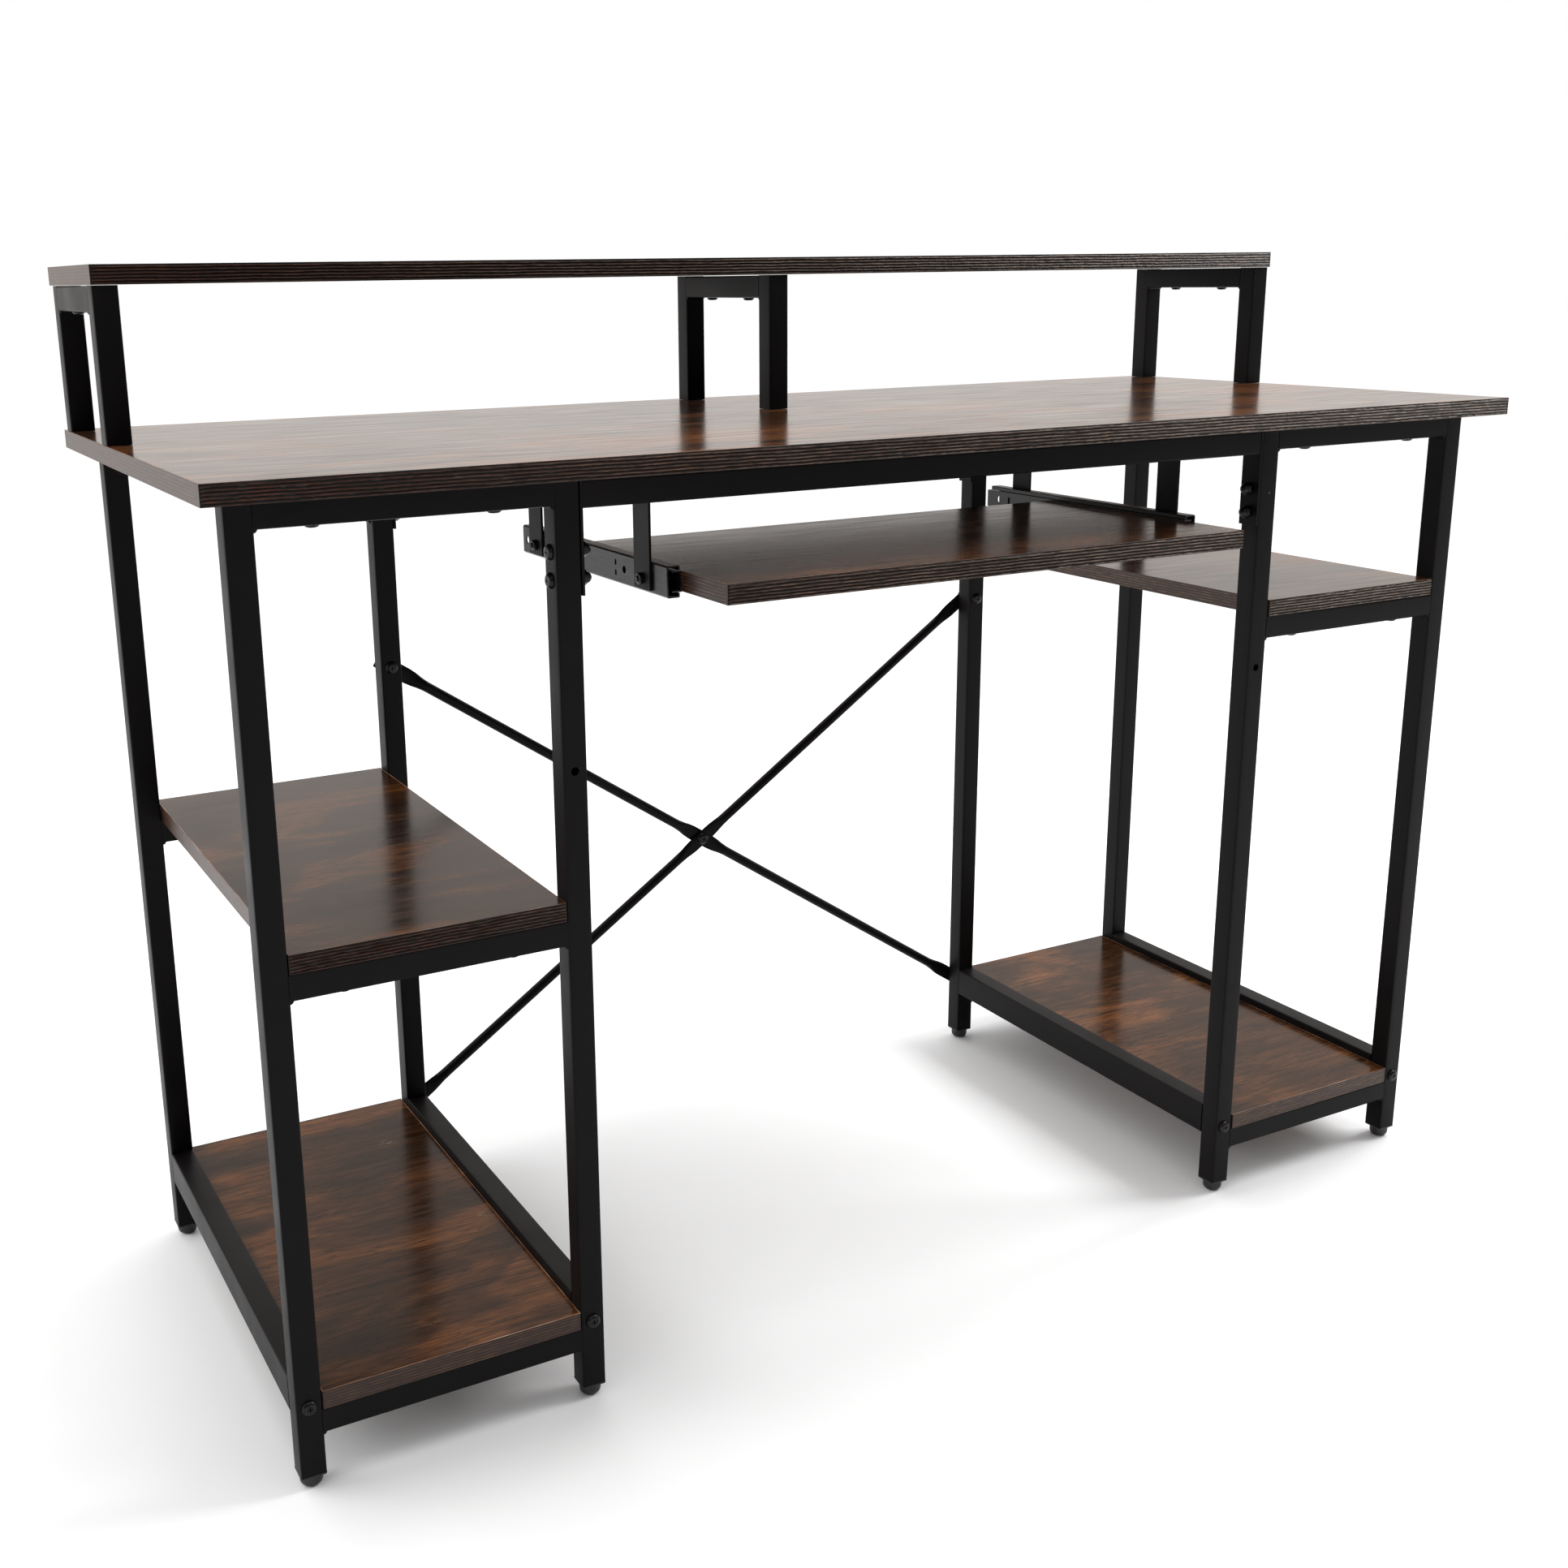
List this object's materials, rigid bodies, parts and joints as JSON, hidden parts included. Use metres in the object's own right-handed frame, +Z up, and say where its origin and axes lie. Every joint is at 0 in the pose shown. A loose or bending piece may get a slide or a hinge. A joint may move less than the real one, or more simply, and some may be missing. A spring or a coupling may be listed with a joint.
{
  "type": "computer desk",
  "caption": "Narrow computer desk on two tubular steel shelf pedestals, with a raised monitor shelf, an X brace and a pull-out keyboard tray on ball-bearing slides.",
  "frame": {"origin": "on the floor, under the middle of the desk's outline with the tray pushed in", "axes": "+X along the desk to the right of the person sitting at it, -Y towards that person, +Z up"},
  "size_m": [1.2, 0.534, 0.893],
  "materials": {
    "laminated_board": "dark rustic brown wood print on board, satin, ridged banding on the front edges",
    "powder_coated_steel": "black powder coat, satin",
    "slide_steel": "black coated sheet, satin",
    "ball_steel": "bright steel, greased",
    "bolt_steel": "black oxide, slightly glossy",
    "foot_plastic": "matt black"
  },
  "bodies": {
    "desk": {"bottom_shelf_left": "laminated_board", "bottom_shelf_right": "laminated_board", "brace_bolt_left": "bolt_steel", "brace_bolt_right": "bolt_steel", "brace_centre_bolt": "bolt_steel", "brace_left_to_right": "powder_coated_steel", "brace_right_to_left": "powder_coated_steel", "desktop": "laminated_board", "foot_front_left_inner": "foot_plastic", "foot_front_left_outer": "foot_plastic", "foot_front_right_inner": "foot_plastic", "foot_front_right_outer": "foot_plastic", "foot_rear_left_inner": "foot_plastic", "foot_rear_left_outer": "foot_plastic", "foot_rear_right_inner": "foot_plastic", "foot_rear_right_outer": "foot_plastic", "front_frame_left": "powder_coated_steel", "front_frame_right": "powder_coated_steel", "hanger_bolt_front_left": "bolt_steel", "hanger_bolt_front_right": "bolt_steel", "hanger_bolt_rear_left": "bolt_steel", "hanger_bolt_rear_right": "bolt_steel", "hanger_front_left": "powder_coated_steel", "hanger_front_right": "powder_coated_steel", "hanger_rear_left": "powder_coated_steel", "hanger_rear_right": "powder_coated_steel", "leg_bolt_front_left_inner": "bolt_steel", "leg_bolt_front_left_outer": "bolt_steel", "leg_bolt_front_right_inner": "bolt_steel", "leg_bolt_front_right_outer": "bolt_steel", "leg_bolt_rear_left_inner": "bolt_steel", "leg_bolt_rear_left_outer": "bolt_steel", "leg_bolt_rear_right_inner": "bolt_steel", "leg_bolt_rear_right_outer": "bolt_steel", "middle_rail_front": "powder_coated_steel", "middle_rail_rear": "powder_coated_steel", "middle_shelf_left": "laminated_board", "middle_shelf_right": "laminated_board", "monitor_shelf": "laminated_board", "plate_bolt_left_lower": "bolt_steel", "plate_bolt_left_upper": "bolt_steel", "plate_bolt_right_lower": "bolt_steel", "plate_bolt_right_upper": "bolt_steel", "rear_frame_left": "powder_coated_steel", "rear_frame_right": "powder_coated_steel", "riser_left": "powder_coated_steel", "riser_middle": "powder_coated_steel", "riser_right": "powder_coated_steel", "side_rail_left_inner": "powder_coated_steel", "side_rail_left_outer": "powder_coated_steel", "side_rail_right_inner": "powder_coated_steel", "side_rail_right_outer": "powder_coated_steel", "slide_outer_left": "slide_steel", "slide_outer_right": "slide_steel"},
    "tray": {"keyboard_tray": "laminated_board", "slide_inner_left": "slide_steel", "slide_inner_right": "slide_steel"},
    "left_cage": {"ball_cage_left": "ball_steel"},
    "right_cage": {"ball_cage_right": "ball_steel"}
  },
  "joints": [
    {"name": "tray_slide", "type": "slide", "parent": "desk", "child": "tray", "axis": [0, -1, 0], "range_m": [0, 0.18]},
    {"name": "left_cage_slide", "type": "slide", "parent": "desk", "child": "left_cage", "axis": [0, -1, 0], "range_m": [0, 0.09]},
    {"name": "right_cage_slide", "type": "slide", "parent": "desk", "child": "right_cage", "axis": [0, -1, 0], "range_m": [0, 0.09]}
  ],
  "couplings": [
    {"joint": "left_cage_slide", "follows": "tray_slide", "ratio": 0.5},
    {"joint": "right_cage_slide", "follows": "tray_slide", "ratio": 0.5}
  ]
}
